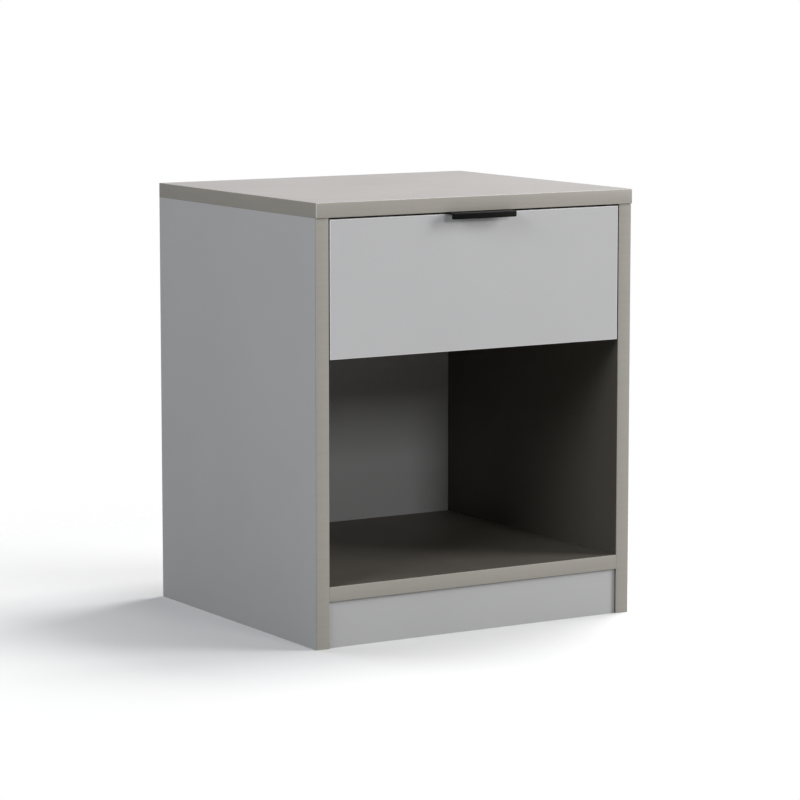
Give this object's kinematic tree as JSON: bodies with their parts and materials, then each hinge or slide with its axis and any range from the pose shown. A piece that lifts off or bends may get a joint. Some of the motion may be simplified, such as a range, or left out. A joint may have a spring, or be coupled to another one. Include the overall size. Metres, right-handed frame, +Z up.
{
  "type": "side table with drawer",
  "caption": "Small two-tone board side table: a shallow inset drawer with a black edge pull on roller slides, above an open shelf on a plinth.",
  "frame": {"origin": "on the floor, at the middle of the footprint of the whole table, pull and nail heads included", "axes": "+X is the table's right as seen from the front, +Y points to its back, +Z is up; the drawer opens towards -Y"},
  "size_m": [0.4, 0.3678, 0.472],
  "materials": {
    "taupe_board": "melamine-faced particle board, warm light grey, satin",
    "grey_board": "melamine-faced particle board, cool light grey, satin",
    "taupe_band": "plastic edge band, warm light grey, satin",
    "grey_band": "plastic edge band, cool light grey, satin",
    "side_board": "melamine-faced particle board, cool grey outside and warm grey inside",
    "back_board": "thin hardboard, light grey lacquer on the inner face, bare brown outside",
    "drawer_board": "foil-wrapped particle board, light grey, matt",
    "drawer_base_board": "thin hardboard, light grey lacquer inside, bare brown below",
    "black_pull": "black powder coat",
    "rail_steel": "white powder-coated steel",
    "zinc": "bright zinc plate",
    "cam_zinc": "die-cast zinc, dull",
    "beech": "fluted beech dowel, bare",
    "nylon": "white nylon"
  },
  "bodies": {
    "carcass": {"top_panel": "taupe_board", "top_front_edge_band": "taupe_band", "top_left_edge_band": "taupe_band", "top_right_edge_band": "taupe_band", "left_side_panel": "side_board", "right_side_panel": "side_board", "left_side_edge_band": "taupe_band", "right_side_edge_band": "taupe_band", "bottom_shelf": "taupe_board", "bottom_shelf_edge_band": "taupe_band", "plinth": "grey_board", "back_panel": "back_board", "cam_locks": "cam_zinc", "cam_bolts": "zinc", "wood_dowels": "beech", "back_panel_nails": "zinc", "left_case_rail": "rail_steel", "right_case_rail": "rail_steel", "case_rail_screws": "zinc", "case_roller_rivets": "zinc"},
    "drawer": {"drawer_front": "grey_board", "drawer_front_left_edge_band": "grey_band", "drawer_front_right_edge_band": "grey_band", "drawer_front_lower_edge_band": "grey_band", "drawer_front_upper_edge_band": "grey_band", "drawer_left_side": "drawer_board", "drawer_right_side": "drawer_board", "drawer_back": "drawer_board", "drawer_bottom": "drawer_base_board", "drawer_pull": "black_pull", "pull_screws": "zinc", "left_drawer_rail": "rail_steel", "right_drawer_rail": "rail_steel", "drawer_rail_screws": "zinc", "drawer_roller_rivets": "zinc", "drawer_cam_locks": "cam_zinc", "drawer_cam_bolts": "zinc", "drawer_dowels": "beech", "drawer_back_screws": "zinc", "drawer_bottom_nails": "zinc"},
    "left_front_roller": {"left_front_roller": "nylon"},
    "left_rear_roller": {"left_rear_roller": "nylon"},
    "right_front_roller": {"right_front_roller": "nylon"},
    "right_rear_roller": {"right_rear_roller": "nylon"}
  },
  "joints": [
    {"name": "drawer_slide", "type": "slide", "parent": "carcass", "child": "drawer", "axis": [0, -1, 0], "range_m": [0, 0.22]},
    {"name": "left_front_roller_spin", "type": "hinge", "parent": "carcass", "child": "left_front_roller", "pos_m": [-0.1778, -0.1399, 0.3294], "axis": [1, 0, 0], "range_deg": [0, 1500]},
    {"name": "left_rear_roller_spin", "type": "hinge", "parent": "drawer", "child": "left_rear_roller", "pos_m": [-0.1772, 0.1361, 0.327], "axis": [1, 0, 0], "range_deg": [0, 1500]},
    {"name": "right_front_roller_spin", "type": "hinge", "parent": "carcass", "child": "right_front_roller", "pos_m": [0.1778, -0.1399, 0.3294], "axis": [1, 0, 0], "range_deg": [0, 1500]},
    {"name": "right_rear_roller_spin", "type": "hinge", "parent": "drawer", "child": "right_rear_roller", "pos_m": [0.1772, 0.1361, 0.327], "axis": [1, 0, 0], "range_deg": [0, 1500]}
  ],
  "couplings": [
    {"joint": "left_front_roller_spin", "follows": "drawer_slide", "rad_per_m": 117.65},
    {"joint": "left_rear_roller_spin", "follows": "drawer_slide", "rad_per_m": 117.65},
    {"joint": "right_front_roller_spin", "follows": "drawer_slide", "rad_per_m": 117.65},
    {"joint": "right_rear_roller_spin", "follows": "drawer_slide", "rad_per_m": 117.65}
  ]
}
